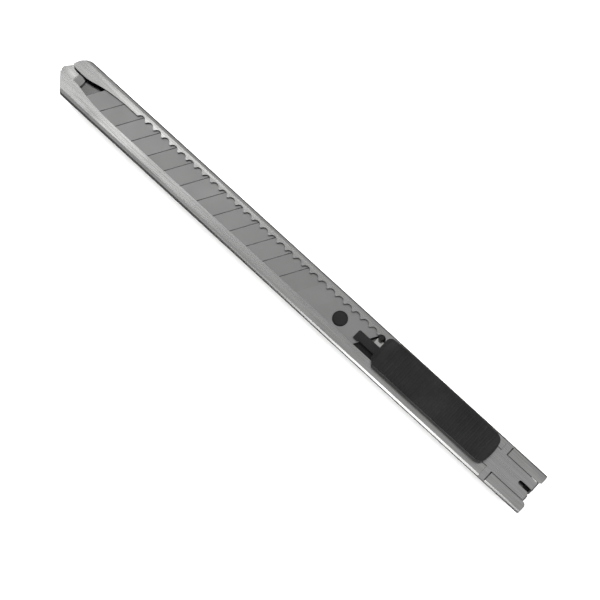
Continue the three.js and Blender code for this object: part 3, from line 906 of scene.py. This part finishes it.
def saddle(x):
    """Height of the ribbed top: a shallow saddle for the thumb, between two swells."""
    share = (x - RIB_FRONT) / (RIB_REAR - RIB_FRONT)
    return CAP_TOP - RIB_RISE - SADDLE * math.sin(math.pi * min(max(share, 0), 1)) ** 2


def cap_plan():
    """The thumb slide seen from above: short chamfers in front, a bowed side and a rounded rear."""
    low, high = CAP_OFFSET - CAP_HALF, CAP_OFFSET + CAP_HALF
    points = [(CAP_FRONT, low + 1.4), (CAP_FRONT, high - 1.6)]
    points += bezier(
        points[-1], (CAP_FRONT, high - 0.7), (CAP_FRONT + 0.5, high - 0.3),
        (CAP_FRONT + 1.7, high - 0.25), 10)
    points += bezier(
        points[-1], (CAP_FRONT + 10, high + 0.05), (CAP_REAR - 10, high + 0.06),
        (CAP_REAR - 2.2, high - 0.2), 24)
    points += bezier(
        points[-1], (CAP_REAR - 1, high - 0.3), (CAP_REAR - 0.3, high - 0.9),
        (CAP_REAR - 0.2, high - 2), 12)
    points += bezier(
        points[-1], (CAP_REAR + 0.07, CAP_OFFSET + 1.2), (CAP_REAR + 0.07, CAP_OFFSET - 1.2),
        (CAP_REAR - 0.2, low + 1.6), 16)
    points += bezier(
        points[-1], (CAP_REAR - 0.3, low + 0.7), (CAP_REAR - 1, low), (CAP_REAR - 2.2, low), 12)
    return points + [(CAP_FRONT + 1.2, low)]


def rib_tool():
    """One rib: a low round ridge across the cap, run out at both ends."""
    reach = CAP_HALF - 0.2
    bow = [(x, z - RIB_SUNK) for x, z in arc(0, 0, RIB_RADIUS, 0, 180, 8)]
    rib = prism("rib_tool", bow, CAP_OFFSET - reach, CAP_OFFSET + reach, from_side)
    for vertex in rib.data.vertices:
        vertex.co.z *= RIB_FLATTENING
    return rib


def make_cap(plastic):
    steps = 56
    top = [RIB_REAR - i * (RIB_REAR - RIB_FRONT) / steps for i in range(steps + 1)]
    crown = [(CAP_REAR, CAP_BOTTOM), (CAP_REAR, CAP_TOP - 0.8), (CAP_REAR - 0.4, CAP_TOP - 0.4)]
    crown += [(x, saddle(x)) for x in top]
    crown += [(CAP_FRONT + 1, CAP_TOP - 0.45), (CAP_FRONT, CAP_TOP - 1.3), (CAP_FRONT, CAP_BOTTOM)]
    cap = prism("thumb_slide_cap", crown, -OUTER - 1, OUTER + 1, from_side)
    combine(cap, prism("outline", cap_plan(), 0, FAR), "INTERSECT")
    underside = brick("underside", CAP_FRONT - 1, CAP_REAR + 1, -FAR, FAR, 0, CAP_BOTTOM + 0.02)
    combine(cap, underside, "DIFFERENCE")
    flatten_faces(cap, angle=0.2)
    ease_edges(cap, width=0.22, segments=4, angle=28)
    low, high = CAP_OFFSET - CAP_HALF + POCKET_MARGIN, CAP_OFFSET + CAP_HALF - POCKET_MARGIN
    pocket = brick(
        "neck_pocket", CAP_FRONT + 0.6, CAP_REAR - 1, low, high,
        CAP_BOTTOM - 0.3, CAP_TOP - POCKET_ROOF)
    combine(pocket, cad_copy("moulded_inside", "thumb_slide"), "DIFFERENCE")
    combine(cap, pocket, "DIFFERENCE")
    foot = cad_copy("cam_wedge", "thumb_slide")
    underneath = brick(
        "underneath", CAP_FRONT - 1, CAP_FRONT + WEDGE_REACH, low, high, 0, CAP_BOTTOM + 0.3)
    combine(foot, underneath, "INTERSECT")
    combine(cap, foot, "UNION")
    count = int((RIB_REAR - RIB_FRONT) / RIB_PITCH) + 1
    repeat(
        cap, repeating_tree("grip_ribs", "UNION"), rib_tool(), Count=count,
        First=(RIB_FRONT, 0, CAP_TOP - RIB_RISE), Step=(RIB_PITCH, 0, 0), Dip=SADDLE + 0.06,
        Material=plastic)
    finish_piece(cap, plastic, "thumb_slide")
    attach(cap, "thumb_slide")


# ---------------------------------------------------------------- studio


def make_floor():
    """Matt white paper, out of the metal's reflections, as a lifted sweep is."""
    reach, thickness = 4000, 2
    corners = [(-reach, -reach), (reach, -reach), (reach, reach), (-reach, reach)]
    floor = prism("studio_floor", corners, -thickness, -0.02)
    floor.data.transform(Matrix.Scale(MM, 4))
    floor.visible_glossy = False
    material, tree, shader = new_material("matt_white_paper")
    place = add(tree, "ShaderNodeTexCoord").outputs["Object"]
    fibre = add(tree, "ShaderNodeTexNoise", {"Vector": place, "Scale": per_metre(1.2), "Detail": 4.0})
    tone = add(tree, "ShaderNodeMix", {"Factor": fibre.outputs["Fac"]}, data_type="RGBA")
    tone.inputs["A"].default_value = linear("#f4f4f3")
    tone.inputs["B"].default_value = linear("#fafaf9")
    tree.links.new(tone.outputs["Result"], shader.inputs["Base Color"])
    shader.inputs["Roughness"].default_value = 0.9
    floor.data.materials.append(material)


def make_world():
    """An even grey tent: mid grey overhead, which the flat steel mirrors, and darker near the floor."""
    world = bpy.data.worlds.new("studio_tent")
    bpy.context.scene.world = world
    world.use_nodes = True
    tree = world.node_tree
    tree.nodes.clear()
    place = add(tree, "ShaderNodeTexCoord").outputs["Generated"]
    parts = add(tree, "ShaderNodeSeparateXYZ", {"Vector": place})
    height = add(tree, "ShaderNodeMapRange", {
        "Value": parts.outputs["Z"], "From Min": -0.1, "From Max": 0.35},
        interpolation_type="SMOOTHSTEP")
    tone = add(tree, "ShaderNodeMix", {"Factor": height.outputs["Result"]}, data_type="RGBA")
    tone.inputs["A"].default_value = linear("#5c5c5c")
    tone.inputs["B"].default_value = linear("#bcbcbc")
    sky = add(tree, "ShaderNodeBackground", {"Color": tone.outputs["Result"], "Strength": 1.0})
    add(tree, "ShaderNodeOutputWorld", {"Surface": sky.outputs["Background"]})


def make_lamps():
    """Low soft boxes that whiten the paper, kept out of reflections, and two cards the metal mirrors.

    nose_glow lies where the flat steel near the nose looks, and side_card where the plain lip's
    bend looks between the middle and the tail. Each has its place and size in metres, its power in
    watts, and whether it is mirrored.
    """
    lamps = (
        ("nose_softbox", (-0.95, 0.2, 0.5), (0.5, 0.8), 18.0, False),
        ("tail_softbox", (0.95, 0.3, 0.5), (0.5, 0.8), 14.0, False),
        ("near_softbox", (0.2, -1.0, 0.45), (0.9, 0.4), 19.0, False),
        ("far_softbox", (-0.1, 1.0, 0.45), (0.9, 0.4), 12.0, False),
        ("nose_glow", (-0.28, 0.17, 0.955), (0.3, 0.07), 0.11, True),
        ("side_card", (-0.02, -1.0, -0.1), (0.17, 2.0), 2.6, True),
    )
    for name, spot, size, power, mirrored in lamps:
        lamp = bpy.data.lights.new(name, "AREA")
        lamp.shape = "RECTANGLE"
        lamp.size, lamp.size_y = size
        lamp.energy = power
        stand = bpy.data.objects.new(name, lamp)
        stand.location = spot
        stand.rotation_euler = (-Vector(spot)).to_track_quat("-Z", "Y").to_euler()
        stand.visible_glossy = mirrored
        stand.visible_camera = False
        bpy.context.collection.objects.link(stand)


# ---------------------------------------------------------------- assembly

make_sleeve(
    # 7c7c7b is the painted shade of the channel's deep floor.
    satin_stainless("brushed_stainless_sleeve", "#cbcbca", "#b0b0af", "#7c7c7b", 0.15, 0.23),
    # Near-black painted shadow line along the notched lip's inner edge.
    painted_shade_steel("sheared_lip_edge", "#121212", "#262626"))
# 7c7c7b is the same painted floor shade, on the clip below that height.
make_clip(satin_stainless("brushed_stainless_clip", "#cacac9", "#b2b2b2", "#7c7c7b", 0.2, 0.3))
# The second blade material is a dark painted shade in the scored grooves.
make_blade(ground_blade_steel(), painted_shade_steel("oil_filled_score", "#3a3a3a", "#6c6c6c"))
make_holder(moulded_black("moulded_acetal_holder", "#0a0a0a", "#0f0f0f", 0.25, 0.01, 0.38, 0.5))
make_spring(bright_spring_steel())
make_pin(moulded_black("moulded_acetal_pin", "#0a0a0a", "#0f0f0f", 0.25, 0.01, 0.35, 0.48))
make_cap(moulded_black("moulded_abs_thumb_slide", "#0d0d0d", "#131313", 0.18, 0.02, 0.42, 0.58))

make_floor()
make_world()
make_lamps()
bpy.context.scene.view_settings.view_transform = "Standard"
